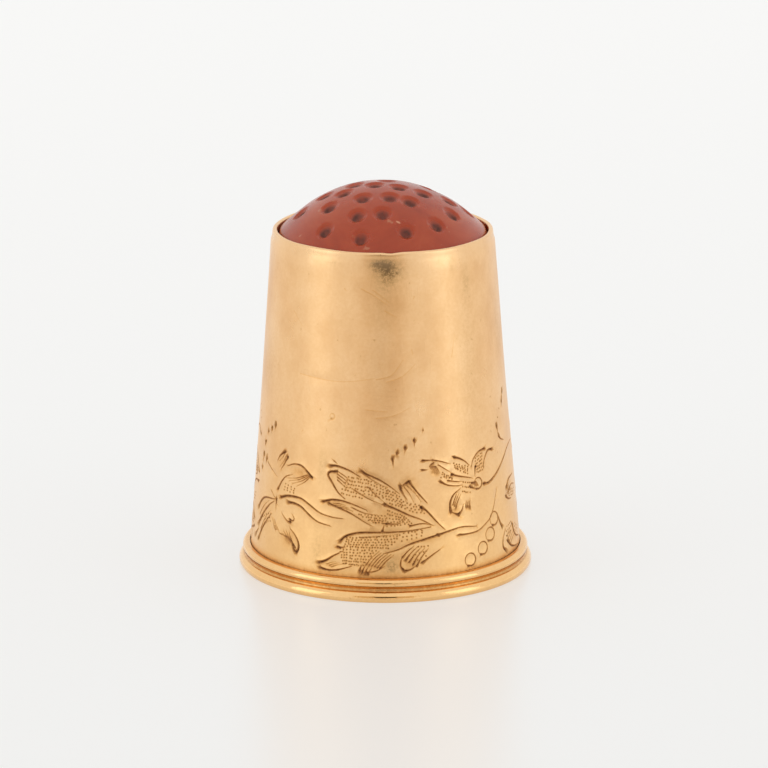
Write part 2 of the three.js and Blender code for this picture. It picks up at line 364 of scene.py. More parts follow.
# A spray that joins one end of the design to the other, round the sides.
JOINING_SPRAY = {
    "lines": [
        (0.13, [(-10.6, 6.2), (-11.2, 6.9), (-12.0, 7.3), (-12.9, 7.3)]),
        (0.13, [(-10.6, 5.6), (-11.4, 5.5), (-12.1, 5.1), (-12.7, 4.4)]),
        (0.13, [(-11.0, 3.2), (-11.6, 3.7), (-12.3, 3.8), (-12.9, 3.5)]),
        (0.12, [(-11.1, 2.6), (-11.7, 2.4), (-12.4, 2.6), (-12.9, 3.3)]),
        (0.11, [(-11.0, 8.6), (-11.5, 8.9), (-12.1, 8.8), (-12.6, 8.4)]),
    ],
    "hatches": [
        (0.08, 4, (-11.1, 6.3), (-12.2, 6.9), (-11.2, 5.9), (-12.2, 5.7)),
        (0.08, 4, (-11.3, 3.3), (-12.2, 3.6), (-11.3, 2.8), (-12.3, 2.9)),
    ],
    "dots": [
        (3, 5, (-11.3, 6.6), (-12.2, 6.9), (-11.2, 6.0), (-12.3, 6.2)),
        (3, 5, (-11.2, 4.7), (-12.2, 4.5), (-11.3, 4.3), (-12.3, 4.1)),
        (1, 3, (-11.6, 10.2), (-11.0, 9.5), (-11.6, 10.2), (-11.0, 9.5)),
    ],
    "rings": [((-11.9, 1.95), 0.38)],
}
MOTIFS = [
    UPPER_LEAF, SCATTERED_DIGS, LOWER_LEAF, BERRIES, SMALL_FLOWER, RIGHT_LEAVES, LEFT_FLOWER, JOINING_SPRAY,
]

CUT_STEP = 0.11            # spacing of mesh points along a cut
CUT_DEPTH = 0.85           # against its half width
CUT_THINNING = 0.72        # how much of its width a cut loses by its end
HEAD_SWELL = 0.05          # how much wider a heavy cut is where the graver goes in
HEAD_LENGTH = 0.15
FINE_CUT = 0.08            # a cut of this width has no swollen head
HEAVIER = 0.06             # and one this much wider has all of the swelling
RING_CUT = 0.11
DOT_RADIUS = 0.055
DOT_DEPTH = 0.045
DOT_STAIN = 1.35           # the dirt reaches past a dot's edge
GUARD = 0.035              # metal kept whole beside a cut
BURR = 0.014               # metal thrown up along a cut's edges
BURR_WIDTH = 0.05
HAIRLINE_STAIN = 0.42      # how dark the finest cut is
STAIN_GAIN = 6.5           # and how much darker, for each millimetre of half width
REACH = 0.12               # how far past a cut's edge, or from a dot's centre, its marks can lie
SCRATCH_DEPTH = 0.35       # a scratch against a cut of the same width
SCRATCH_DIRT = 0.42
SCRATCH_GUARD = 0.07       # metal kept whole round a scratch's ends
REPEATS = 2                # the design goes round the body twice


def smooth_path(points, step):
    """Evenly spaced points on a Catmull-Rom curve."""
    points = np.array(points, float)
    ends = 2 * points[0] - points[1], 2 * points[-1] - points[-2]
    spine = np.vstack([ends[0], points, ends[1]])
    share = np.linspace(0, 1, 12, endpoint=False)[:, None]
    runs = []
    for a, b, c, d in zip(spine, spine[1:], spine[2:], spine[3:]):
        squared, cubed = 2 * a - 5 * b + 4 * c - d, 3 * b - a - 3 * c + d
        runs.append(0.5 * (2 * b + (c - a) * share + squared * share**2 + cubed * share**3))
    curve = np.vstack(runs + [points[-1:]])
    travelled = np.concatenate([[0], np.cumsum(np.hypot(*np.diff(curve, axis=0).T))])
    marks = np.linspace(0, travelled[-1], max(3, round(travelled[-1] / step) + 1))
    return np.stack([np.interp(marks, travelled, side) for side in curve.T], axis=1)


def make_cut(width, points):
    """A graver's cut: its centre line, and its half width at each point, heavy first and fine last."""
    centre = smooth_path(points, CUT_STEP)
    share = np.linspace(0, 1, len(centre))
    gone = np.arange(len(centre)) * CUT_STEP
    head = HEAD_SWELL * np.clip((width - FINE_CUT) / HEAVIER, 0, 1) * np.exp(-(gone / HEAD_LENGTH)**2)
    return centre, width / 2 * (1 - CUT_THINNING * share**1.2) + head


def hatch_lines(width, count, first, first_end, last, last_end):
    """Cuts fanned evenly from one line to another, each a little bowed."""
    for share in np.linspace(0, 1, count):
        start = np.add(first, share * np.subtract(last, first))
        end = np.add(first_end, share * np.subtract(last_end, first_end))
        along = end - start
        middle = (start + end) / 2 + 0.05 * np.array([-along[1], along[0]])
        yield width, [start, middle, end]


def ring_line(centre, radius):
    """A ring cut in one sweep, which ends a little past its start."""
    angles = np.linspace(-2.0, -2.0 + 2.05 * math.pi, 10)
    return RING_CUT, [(centre[0] + radius * math.cos(a), centre[1] + radius * math.sin(a)) for a in angles]


def motif_marks(motif):
    """All the lines of a motif, and all its punched dots."""
    lines = list(motif["lines"])
    for hatch in motif.get("hatches", []):
        lines.extend(hatch_lines(*hatch))
    for ring in motif.get("rings", []):
        lines.append(ring_line(*ring))
    dots = []
    for rows, count, first, first_end, last, last_end in motif.get("dots", []):
        for down in np.linspace(0, 1, rows):
            start = np.add(first, down * np.subtract(last, first))
            end = np.add(first_end, down * np.subtract(last_end, first_end))
            dots.extend(start + along * (end - start) for along in np.linspace(0, 1, count))
    return lines, dots


def engrave(motifs, seed):
    """Every cut and dot of some motifs. The repeats differ a little, as hand work does."""
    rng = random.Random(seed)
    cuts, dots = [], []
    for repeat in range(REPEATS):
        turn = np.array([-repeat * GIRTH / REPEATS, 0.0])
        for motif in motifs:
            lines, marks = motif_marks(motif)
            for width, points in lines:
                drift = np.array([rng.uniform(-0.08, 0.08), rng.uniform(-0.05, 0.05)]) * repeat
                cuts.append(make_cut(width, np.array(points) + drift + turn))
            for mark in marks:
                drift = [rng.uniform(-0.04, 0.04), rng.uniform(-0.03, 0.03)]
                dots.append(np.add(mark, drift) + turn)
    return cuts, np.array(dots).reshape(-1, 2)


def beside(cut, shares, extra):
    """Points across a cut, at shares of its half width plus an extra distance."""
    centre, half = cut
    along = np.gradient(centre, axis=0)
    along /= np.hypot(along[:, 0], along[:, 1])[:, None]
    across = np.stack([-along[:, 1], along[:, 0]], axis=1)
    return np.vstack([centre + across * (share * (half + extra))[:, None] for share in shares])


def dot_rings(dots, radius, count):
    """Points on a circle round each dot."""
    angles = np.arange(count) * 2 * math.pi / count
    ring = np.stack([np.cos(angles), np.sin(angles)], axis=1) * radius
    return (dots[:, None, :] + ring[None, :, :]).reshape(-1, 2)


def thinned(layers):
    """Points of all layers in turn, leaving out each that is closer than its layer's spacing to one kept."""
    cell = 0.12
    kept, squares = [], {}
    for spacing, points in layers:
        reach = math.ceil(spacing / cell)
        for x, y in points:
            column, row = math.floor(x / cell), math.floor(y / cell)
            crowded = spacing > 0 and any(
                (x - a)**2 + (y - b)**2 < spacing**2
                for i in range(column - reach, column + reach + 1)
                for j in range(row - reach, row + reach + 1)
                for a, b in squares.get((i, j), ())
            )
            if not crowded:
                kept.append((x, y))
                squares.setdefault((column, row), []).append((x, y))
    return np.array(kept)


def staggered(left, right, bottom, top, spacing):
    """A triangular grid of points inside a rectangle."""
    rows = int((top - bottom) / (spacing * 0.87))
    columns = int((right - left) / spacing)
    step = np.arange(columns)[None, :] + 0.5 * (np.arange(rows)[:, None] % 2) + 0.25
    x = left + step * (right - left) / columns
    y = bottom + (np.arange(rows)[:, None] + 0.5) * (top - bottom) / rows + 0 * x
    return np.stack([x.ravel(), y.ravel()], axis=1)


def cut_field(points, cuts, dots):
    """How far each place is sunk by the engraving, and how much of a cut's dark floor it shows, which spreads
    past the cut's edges as a painted shade halo.
    """
    sunk = np.zeros(len(points))
    raised = np.zeros(len(points))
    stain_and_shade = np.zeros(len(points))
    for centre, half in cuts:
        reach = half.max() + REACH
        low, high = centre.min(0) - reach, centre.max(0) + reach
        near = np.flatnonzero(((points > low) & (points < high)).all(axis=1))
        if len(near) == 0:
            continue
        start, along = centre[:-1], np.diff(centre, axis=0)
        offset = points[near][:, None, :] - start[None]
        share = np.clip((offset * along).sum(-1) / (along**2).sum(-1), 0, 1)
        gap = np.hypot(*np.moveaxis(offset - share[..., None] * along, -1, 0))
        width = half[:-1] + share * np.diff(half)
        closest = np.argmin(gap - width, axis=1)
        row = np.arange(len(near))
        gap, width = gap[row, closest], width[row, closest]
        sunk[near] = np.maximum(sunk[near], CUT_DEPTH * width * np.clip(1 - gap / width, 0, 1))
        raised[near] = np.maximum(raised[near], BURR * np.clip(1 - np.abs(gap - width) / BURR_WIDTH, 0, 1))
        # past the cut's edge the dark fades out as a painted shade halo
        beyond = np.clip(1 - (gap - 0.6 * width) / (0.4 * width + 0.8 * GUARD), 0, 1)
        stain_and_shade[near] = np.maximum(stain_and_shade[near], beyond * np.minimum(HAIRLINE_STAIN + STAIN_GAIN * width, 1))
    order = np.argsort(points[:, 0])
    across = points[order, 0]
    for dot in dots:
        first, last = np.searchsorted(across, (dot[0] - REACH, dot[0] + REACH))
        near = order[first:last]
        gap = np.hypot(*(points[near] - dot).T)
        sunk[near] = np.maximum(sunk[near], DOT_DEPTH * np.clip(1 - gap / DOT_RADIUS, 0, 1))
        stain_and_shade[near] = np.maximum(stain_and_shade[near], np.clip(DOT_STAIN - gap / DOT_RADIUS, 0, 1))
    raised[sunk > 0.004] = 0
    return sunk - raised, np.clip(stain_and_shade, 0, 1)


# ---------------------------------------------------------------- the gold body
SHEET_LEFT = SEAM - GIRTH
SHEET_RIGHT = SEAM
SHEET_BOTTOM = BEAD_TOP + 0.07
ENGRAVED_TOP = 11.9
PLAIN_SPACING = 0.23       # mesh points between the cuts
UPPER_SPACING = 0.32       # and above the engraving
EDGE_MARGIN = 0.1
CREVICE_SHADE = 0.36        # painted shade in the crease where the body meets the bead
CREVICE_HEIGHT = 0.34
COLUMNS = 264

dents = waves(3, 14, 1, 7, 0.035)
ripples = waves(5, 16, 9, 28, 0.007)
lip_waver = waves(8, 8, 2, 9, LIP_WAVER)


def body_surface(girth, height):
    """Radius of the body's outside, with the dents and unevenness of hand work and wear."""
    freedom = np.clip((height - 1) / 4, 0.2, 1)      # the foot keeps the lower end in shape
    return body_radius(height) + dents(girth, height) * freedom + ripples(girth, height)


def edge_ring(girth, height):
    height = np.full(COLUMNS, height)
    return body_surface(girth, height), height


def body_sheet():
    """The engraved outside laid out flat: points, triangles, how deep each point is, and how much dirt and
    painted shade it shows.

    Each layer of points keeps its own distance from those before it, so the cuts come first."""
    cuts, dots = engrave(MOTIFS, 11)
    scratches, _ = engrave([SCRATCHES], 12)
    rows = np.linspace(SHEET_BOTTOM, LIP_TURN_HEIGHT, 56)
    columns = SHEET_LEFT + np.arange(COLUMNS + 1) * GIRTH / COLUMNS
    border = [(x, y) for x in columns for y in (SHEET_BOTTOM, LIP_TURN_HEIGHT)]
    border += [(x, y) for y in rows[1:-1] for x in (SHEET_LEFT, SHEET_RIGHT)]
    sides = SHEET_LEFT + EDGE_MARGIN, SHEET_RIGHT - EDGE_MARGIN
    layers = [(0, border)]
    layers += [(0.035, beside(cut, [0.0], 0.0)) for cut in cuts + scratches]
    layers += [(0.035, dots), (0.03, dot_rings(dots, DOT_RADIUS, 6))]
    layers += [(0.022, beside(cut, [-1.0, 1.0], 0.0)) for cut in cuts + scratches]
    layers += [(0.026, beside(cut, [-1.0, 1.0], GUARD)) for cut in cuts + scratches]
    layers += [(0.026, dot_rings(centre[[0, -1]], SCRATCH_GUARD, 8)) for centre, _ in scratches]
    layers += [(0.035, dot_rings(dots, DOT_RADIUS + 0.04, 7))]
    layers += [(0.17, staggered(*sides, SHEET_BOTTOM + 0.08, ENGRAVED_TOP, PLAIN_SPACING))]
    layers += [(0.30, staggered(*sides, ENGRAVED_TOP, LIP_TURN_HEIGHT - EDGE_MARGIN, UPPER_SPACING))]
    points, _, faces, *_ = delaunay_2d_cdt([Vector(p) for p in thinned(layers)], [], [], 0, 1e-6)
    points = np.array([tuple(p) for p in points])
    sunk, stain_and_shade = cut_field(points, cuts, dots)
    scratched, dirt_and_shade = cut_field(points, scratches, [])
    depth = sunk + SCRATCH_DEPTH * np.maximum(scratched, 0)
    return points, faces, depth, np.maximum(stain_and_shade, SCRATCH_DIRT * dirt_and_shade)


# Warm shading among the cuts, which repeats with the design. Each patch is
# (distance round, height, half width, half height, strength).
SHADES = [
    (-6.4, 3.0, 0.55, 0.45, 0.44), (-5.7, 7.25, 0.7, 0.28, 0.40), (0.6, 5.3, 1.2, 0.35, 0.22),
    (-3.1, 5.75, 0.7, 0.16, 0.34), (3.2, 7.75, 0.30, 0.25, 0.55), (1.6, 6.9, 0.45, 0.35, 0.30),
    (1.6, 2.3, 0.7, 0.45, 0.30), (-0.8, 2.1, 0.7, 0.35, 0.30), (-3.4, 1.95, 0.6, 0.18, 0.30),
    (4.5, 5.15, 0.35, 0.4, 0.34), (-1.2, 7.55, 0.5, 0.12, 0.26), (2.2, 3.6, 1.2, 0.12, 0.28),
    (-3.3, 7.3, 0.25, 0.4, 0.24), (6.9, 7.6, 0.25, 0.5, 0.20), (-9.2, 4.3, 0.7, 0.6, 0.18),
    (-7.4, 7.6, 0.3, 0.4, 0.22), (10.2, 2.3, 0.6, 0.5, 0.22),
]
# Grey-brown tarnish and handling marks, laid out the same way. They don't repeat.
SMUDGES = [
    (-0.2, 20.4, 0.70, 0.24, 0.95), (0.5, 20.05, 1.05, 0.60, 0.78), (0.2, 19.3, 0.8, 0.8, 0.30),
    (0.2, 17.6, 1.1, 1.3, 0.14), (5.2, 20.2, 0.30, 0.5, 0.32), (6.4, 18.9, 0.40, 1.2, 0.24),
    (-3.6, 20.3, 0.8, 0.25, 0.30), (0.35, 2.1, 0.55, 0.6, 0.55), (-4.2, 2.7, 0.40, 1.2, 0.24),
    (-4.0, 7.9, 0.35, 1.0, 0.24), (1.2, 9.3, 0.6, 0.5, 0.14), (10.5, 15.0, 1.0, 2.2, 0.16),
    (-10.0, 13.0, 1.6, 2.0, 0.14), (-14.0, 19.8, 1.2, 0.5, 0.50), (-20.5, 18.9, 0.7, 1.0, 0.36),
    (-26.0, 20.1, 1.6, 0.4, 0.45), (-33.0, 16.5, 1.2, 2.0, 0.22), (-24.8, 2.3, 0.8, 0.5, 0.40),
    (-22.0, 9.8, 0.6, 0.5, 0.30), (-18.0, 12.5, 1.5, 2.2, 0.16), (6.3, 13.5, 0.9, 5.0, 0.12),
]


def patches(points, table, repeats=1):
    """How strongly each place of the sheet is marked by a table of soft patches."""
    total = np.zeros(len(points))
    for girth, height, half_width, half_height, strength in table:
        for repeat in range(repeats):
            across = (points[:, 0] - girth + repeat * GIRTH / REPEATS) / half_width
            up = (points[:, 1] - height) / half_height
            total += strength * np.exp(-across**2 - up**2)
    return total


def plain_outline():
    """Over the lip from the sheet's top edge, down inside, and round the lower edge to the sheet's bottom."""
    lip_round = LIP_THICKNESS / 2
    lip_outside = LIP_INNER_RADIUS + LIP_THICKNESS + 0.02
    over = [((body_radius(LIP_TURN_HEIGHT) + lip_outside) / 2, LIP_TURN_HEIGHT + 0.15)]
    over += [(lip_outside, LIP_TURN_HEIGHT + height) for height in (0.30, 0.42)]
    over += arc(LIP_INNER_RADIUS + lip_round, LIP_HEIGHT - lip_round, lip_round, 0, 180, 8)
    over += [(LIP_INNER_RADIUS, LIP_HEIGHT - 0.35), (LIP_INNER_RADIUS, BORE_TOP + 0.1)]
    over += [(BORE_RADIUS, height) for height in np.linspace(BORE_TOP, LEDGE_TOP, 4)]
    inside = [(body_radius(h) - WALL, h) for h in np.linspace(LEDGE_BOTTOM, SHELL_FOOT + 0.1, 30)]
    foot = [(body_radius(SHELL_FOOT) - WALL / 2 - 0.09, SHELL_FOOT), (body_radius(SHELL_FOOT), SHELL_FOOT)]
    outside = [(body_radius(h), h) for h in np.linspace(SHELL_FOOT + 0.3, SHEET_BOTTOM - 0.1, 5)]
    return over + inside + foot + outside


def plain_band(girth):
    """Rings of (radius, height) from the sheet's top edge to its bottom, with the lip's unevenness."""
    lip_rise = LIP_HEIGHT - LIP_TURN_HEIGHT
    nick = NICK_DEPTH * np.clip(1 - np.abs(girth - NICK_PLACE) / NICK_HALF_WIDTH, 0, 1)
    rings = [edge_ring(girth, LIP_TURN_HEIGHT)]
    for r, h in plain_outline():
        height = np.full(COLUMNS, h)
        unevenness = (body_surface(girth, height) - body_radius(h)) * (r > BORE_RADIUS + 0.01)
        raised = np.clip((h - LIP_TURN_HEIGHT) / lip_rise, 0, 1)
        rings.append((r + unevenness, height + (lip_waver(girth, 0) - nick) * raised))
    rings.append(edge_ring(girth, SHEET_BOTTOM))
    return rings


def build_body(material):
    points, faces, sunk, stain_and_shade = body_sheet()
    sheet = around(body_surface(points[:, 0], points[:, 1]) - sunk, points[:, 1], points[:, 0])
    girth = SHEET_LEFT + np.arange(COLUMNS) * GIRTH / COLUMNS
    rings = plain_band(girth)
    band = np.vstack([around(r, h, girth) for r, h in rings])
    band_flat = np.column_stack([np.tile(girth, len(rings)), np.concatenate([h for _, h in rings])])

    # painted shade in the crease above the bead, fading upwards from the sheet's bottom edge
    crevice_shade = np.clip(1 - (points[:, 1] - SHEET_BOTTOM) / CREVICE_HEIGHT, 0, 1) * CREVICE_SHADE
    marked = np.maximum(np.maximum(stain_and_shade, crevice_shade), patches(points, SHADES, REPEATS))
    # band rings at and below the sheet's bottom take the same painted shade
    band_crevice_shade = np.where(band_flat[:, 1] < SHEET_BOTTOM + 0.01, CREVICE_SHADE, 0.0)
    outside = np.concatenate([r for r, _ in rings]) > LIP_INNER_RADIUS + 0.02
    return make_piece(
        "body", np.vstack([sheet, band]), list(faces) + ring_faces(len(sheet), len(rings), COLUMNS),
        material, "body_shell", "gold", sharp=80, weld=0.003,
        grime=np.concatenate([marked, band_crevice_shade]),
        smudge=np.concatenate([patches(points, SMUDGES), patches(band_flat, SMUDGES) * outside]),
    )


# ---------------------------------------------------------------- the foot, the ledge and the cement
GROOVE_SHADE = 0.24         # painted shade in the grooves beside the bead
COVE_SHADE = 0.40           # painted shade in the cove between roll and bead, the deepest of them
CORNER_DIRT = 0.8          # in the corner between the ledge and the body
COVE_START = 66            # the cove between roll and bead: where it leaves the roll's round, in degrees
COVE_END = -32             # and where it meets the bead's
BED_GAP = 0.015            # between the bead and the bed it lies in
ROLL_CORNER = 0.06         # the small round on the roll's inner lower corner


def shade_and_dirt_inside(edge, fade, verts):
    """A mask on the side towards the axis, for painted shade in the foot's grooves and dirt in the ledge's
    corner: none outside the radius edge, and full once fade further in.
    """
    return np.clip((edge - axis_distance(verts)) / fade, 0, 1)


def curve(start, middle, end, shares):
    """Points on a curve that leaves start and reaches end, pulled towards middle."""
    return [(1 - share)**2 * start + 2 * share * (1 - share) * middle + share**2 * end for share in shares]


def build_roll(material):
    """The large roll, flat where it stands, with a cove on top that the bead lies in."""
    ring_radius = ROLL_OUTER - ROLL_RADIUS
    bead_ring = BEAD_OUTER - BEAD_RADIUS
    standing_edge = -math.degrees(math.asin(ROLL_HEIGHT / ROLL_RADIUS))
    inner = body_radius(ROLL_BOTTOM) + FILM
    outline = arc(inner + ROLL_CORNER, ROLL_BOTTOM + ROLL_CORNER, ROLL_CORNER, 180, 270, 4)
    outline += arc(ring_radius, ROLL_HEIGHT, ROLL_RADIUS, standing_edge, COVE_START, 22)
    bed = arc(bead_ring, BEAD_HEIGHT, BEAD_RADIUS + BED_GAP, COVE_END, -90, 8)
    deepest = np.array([bead_ring + 0.04, ROLL_TOP + 0.01])
    outline += curve(np.array(outline[-1]), deepest, np.array(bed[0]), np.linspace(0.12, 0.92, 8))
    outline += bed + [(body_radius(BEAD_BOTTOM) + FILM, bed[-1][1])]
    wear = waves(21, 12, 2, 11, 0.012)
    nicks = waves(22, 18, 20, 70, 0.006)

    def wobble(radius, height, girth):
        out = np.clip((radius - ring_radius) / ROLL_RADIUS, 0, 1)
        return radius + out * (wear(girth, height) + nicks(girth, 3 * height)), height

    verts, faces = turned(outline, 360, wobble)
    # painted shade in the cove on top of the roll
    in_cove = shade_and_dirt_inside(ring_radius + 0.19, 0.08, verts) * (verts[:, 2] > ROLL_HEIGHT + 0.05)
    return make_piece("foot_roll", verts, faces, material, "rim_roll", "gold", grime=in_cove * COVE_SHADE)


def build_bead(material):
    ring_radius = BEAD_OUTER - BEAD_RADIUS
    outline = [(body_radius(BEAD_BOTTOM) + FILM, BEAD_BOTTOM)]
    outline += arc(ring_radius, BEAD_HEIGHT, BEAD_RADIUS, -90, 90, 24)
    outline += [(body_radius(BEAD_TOP) + FILM, BEAD_TOP)]
    wear = waves(31, 12, 2, 9, 0.010)
    nicks = waves(32, 18, 24, 80, 0.005)

    def wobble(radius, height, girth):
        out = np.clip((radius - ring_radius) / BEAD_RADIUS, 0, 1)
        return radius + out * (wear(girth, height) + nicks(girth, 3 * height)), height

    verts, faces = turned(outline, 360, wobble)
    # painted shade on the bead's inner side, towards the grooves
    in_groove = shade_and_dirt_inside(ring_radius + 0.14, 0.10, verts)
    return make_piece("foot_bead", verts, faces, material, "rim_bead", "gold", grime=in_groove * GROOVE_SHADE)


def rounded_section(corners, radius, steps=3):
    """A closed outline of (radius, height) with each corner broken by a small curve."""
    corners = np.array(corners, float)
    outline = []
    for before, corner, after in zip(np.roll(corners, 1, 0), corners, np.roll(corners, -1, 0)):
        start = corner + radius * (before - corner) / np.hypot(*(before - corner))
        end = corner + radius * (after - corner) / np.hypot(*(after - corner))
        outline += curve(start, corner, end, np.linspace(0, 1, steps + 1))
    return outline


def build_ledge(material):
    """The ring soldered inside the top. Its underside shows from the open end."""
    outline = rounded_section([
        (LEDGE_INNER_RADIUS, LEDGE_BOTTOM), (LEDGE_OUTER, LEDGE_BOTTOM),
        (LEDGE_OUTER, LEDGE_TOP), (LEDGE_INNER_RADIUS, LEDGE_TOP),
    ], 0.07)
    filed = waves(41, 14, 5, 26, 0.025)

    def wobble(radius, height, girth):
        inward = np.clip((LEDGE_OUTER - 0.4 - radius) / 0.3, 0, 1)
        return radius + inward * filed(girth, height), height

    verts, faces = turned(outline, 220, wobble)
    in_corner = (1 - shade_and_dirt_inside(LEDGE_OUTER, 0.2, verts)) * CORNER_DIRT
    return make_piece("seat_ledge", verts, faces, material, "seat_ring", "gold", grime=in_corner)


def build_cement(material):
    floor_top = STONE_BOTTOM - FILM
    wall_inner = CEMENT_OUTER - CEMENT_WALL
    outline = rounded_section([
        (CEMENT_INNER_RADIUS, CEMENT_BOTTOM), (CEMENT_OUTER, CEMENT_BOTTOM), (CEMENT_OUTER, CEMENT_TOP),
        (wall_inner, CEMENT_TOP), (wall_inner, floor_top), (CEMENT_INNER_RADIUS, floor_top),
    ], 0.03)
    shrinkage = waves(51, 20, 8, 60, 0.06)

    def wobble(radius, height, girth):
        top = np.clip((height - CEMENT_TOP + 0.3) / 0.3, 0, 1)
        return radius, height - top * (0.04 + np.abs(shrinkage(girth, 0)))

    verts, faces = turned(outline, 300, wobble)
    return make_piece("setting_cement_bed", verts, faces, material, "setting_cement", "cement")


# ---------------------------------------------------------------- the stone
# Needle pits: (distance from the axis, bearings in degrees, counted from the right-hand side).
PITS = [
    (4.96, [-174]), (5.25, [-131]), (5.4, [-104]), (5.05, [-74]), (4.9, [-49]), (4.6, [-25]),
    (5.1, [4, 32, 58, 86, 112, 140, 164]),
    (3.5, [180]), (3.85, [-146]), (4.05, [-112]), (3.8, [-90]), (4.0, [-3]),
    (3.9, [26, 57, 90, 121, 151]),
    (2.5, [-158, -118]), (2.3, [-79]), (2.95, [-56]), (2.6, [-20, 64, 106]), (3.0, [21]),
    (1.7, [172]), (0.6, [-141]), (1.2, [-35]), (0.9, [72]), (2.2, [138]),
]
PIT_RADIUS = 0.66
PIT_DEPTH = 0.21
PIT_SHIFT = 0.40           # how far a pit's floor lies off its middle, at the dome's edge
CORE_DEPTH = 0.06          # the drill's point goes this much deeper
CORE_EDGE = 0.46           # the core's edge, as a share of the way to the pit's rim
CORE_SLOPE = 0.30
SHOULDER = 0.13            # how much fuller than a sphere the stone is, just inside its edge
SHOULDER_WIDTH = 1.5
FLECK_PLACE = (0.99, -4.68)    # a pale fleck in the stone, on the flattened dome
FLECK_SIZE = (0.17, 0.07)
FLECK_TURN = math.radians(-28)
EDGE_SPREAD = DOME_RADIUS * math.asin(STONE_RADIUS / DOME_RADIUS)      # the dome's edge, flattened out
STONE_COLUMNS = 240


def pit_field(flat, pits):
    """How deep each place of the dome is sunk, and how far it lies into a pit, from 0 at the rim to 1.

    The pits are drilled nearly upright, so on the slope their floors lie towards the lower side."""
    depth = np.zeros(len(flat))
    inside = np.zeros(len(flat))
    for pit in pits:
        near = np.flatnonzero(np.hypot(*(flat - pit).T) < PIT_RADIUS)
        shift = PIT_SHIFT * pit / DOME_RADIUS
        offset = flat[near] - pit - shift
        length = np.maximum(np.hypot(*offset.T), 1e-9)
        leaning = (offset @ shift) / length
        reach = -leaning + np.sqrt(leaning**2 + PIT_RADIUS**2 - shift @ shift)
        share = np.clip(length / reach, 0, 1)
        core = np.clip((CORE_EDGE - share) / CORE_SLOPE, 0, 1)
        drilled = PIT_DEPTH * (1 - share**1.9) + CORE_DEPTH * core**2 * (3 - 2 * core)
        depth[near] = np.maximum(depth[near], drilled)
        inside[near] = np.maximum(inside[near], 1 - share)
    return depth, inside


def pit_places():
    """The pits' centres on the flattened dome, where lengths from the apex are true."""
    places = []
    for distance, bearings in PITS:
        spread = DOME_RADIUS * math.asin(distance / DOME_RADIUS)
        for bearing in bearings:
            angle = math.radians(bearing)
            places.append((spread * math.cos(angle), spread * math.sin(angle)))
    return np.array(places)


def on_dome(flat, depth):
    """Places on the dome from places on it flattened out, sunk by a depth."""
    spread = np.hypot(flat[:, 0], flat[:, 1])
    tilt = spread / DOME_RADIUS
    scale = (DOME_RADIUS - depth) * np.sin(tilt) / np.maximum(spread, 1e-9)
    height = DOME_CENTRE + (DOME_RADIUS - depth) * np.cos(tilt)
    return np.stack([flat[:, 0] * scale - LEAN * height, flat[:, 1] * scale, height], axis=1)


def unit_ring():
    angles = np.arange(STONE_COLUMNS) * 2 * math.pi / STONE_COLUMNS
    return np.stack([np.cos(angles), np.sin(angles)], axis=1)


def dome_sheet(pits):
    """The dome flattened out: points and triangles, closer together in the pits and at the fleck."""
    layers = [(0, unit_ring() * EDGE_SPREAD), (0.02, pits)]
    layers.append((0.05, np.add(staggered(-0.3, 0.3, -0.25, 0.25, 0.06), FLECK_PLACE)))
    layers += [(0.03, dot_rings(pits, PIT_RADIUS + beyond, 48)) for beyond in (0, 0.03, 0.08)]
    for radius in np.arange(PIT_RADIUS - 0.05, 0.04, -0.05):
        layers.append((0.04, dot_rings(pits, radius, 12 + int(radius * 60))))
    grid = staggered(-EDGE_SPREAD, EDGE_SPREAD, -EDGE_SPREAD, EDGE_SPREAD, 0.19)
    layers.append((0.10, grid[np.hypot(*grid.T) < EDGE_SPREAD - 0.08]))
    points = thinned(layers)
    points = points[np.hypot(*points.T) < EDGE_SPREAD + 1e-6]
    flat, _, faces, *_ = delaunay_2d_cdt([Vector(p) for p in points], [], [], 0, 1e-6)
    return np.array([tuple(p) for p in flat]), list(faces)


def stone_underside():
    """Rings of points down the stone's side and in under it, then its middle point, and how many rings."""
    edge_height = DOME_CENTRE + math.sqrt(DOME_RADIUS**2 - STONE_RADIUS**2)
    side = [
        (STONE_RADIUS, edge_height), (STONE_RADIUS, edge_height - 0.25), (STONE_RADIUS, STONE_BOTTOM + 0.12),
        (STONE_RADIUS - 0.12, STONE_BOTTOM), (STONE_RADIUS - 1.2, STONE_BOTTOM), (2.5, STONE_BOTTOM),
    ]
    rings = [np.column_stack([unit_ring() * r, np.full(STONE_COLUMNS, h)]) for r, h in side]
    under = np.vstack(rings + [[[0.0, 0.0, STONE_BOTTOM]]])
    under[:, 0] -= LEAN * under[:, 2]
    return under, len(side)


def fleck_field(flat):
    """How far each place of the flattened dome lies in the pale fleck."""
    cos, sin = math.cos(FLECK_TURN), math.sin(FLECK_TURN)
    off = (flat - FLECK_PLACE) @ np.array([[cos, -sin], [sin, cos]])
    return np.exp(-((off / FLECK_SIZE)**2).sum(axis=1))


def build_stone(material):
    pits = pit_places()
    flat, faces = dome_sheet(pits)
    depth, inside = pit_field(flat, pits)
    bearing = np.arctan2(flat[:, 1], flat[:, 0])
    polish = waves(61, 14, 1, 6, 0.02)(bearing * GIRTH_RADIUS, flat[:, 0])
    inward = EDGE_SPREAD - np.hypot(flat[:, 0], flat[:, 1])
    shoulder = SHOULDER * np.clip(1 - inward / SHOULDER_WIDTH, 0, 1)**1.5 * np.clip(inward / 0.25, 0, 1)
    dome = on_dome(flat, depth + polish * np.clip(inward / 0.8, 0, 1) - shoulder)

    under, rings = stone_underside()
    last = len(dome) + (rings - 1) * STONE_COLUMNS
    centre = last + STONE_COLUMNS
    faces += ring_faces(len(dome), rings, STONE_COLUMNS)
    faces += [[last + i, last + (i + 1) % STONE_COLUMNS, centre] for i in range(STONE_COLUMNS)]
    plain = np.zeros(len(under))
    return make_piece(
        "stone", np.vstack([dome, under]), faces, material, "stone_top", "hardstone", sharp=50, weld=0.003,
        pit=np.concatenate([inside, plain]), fleck=np.concatenate([fleck_field(flat), plain]),
    )


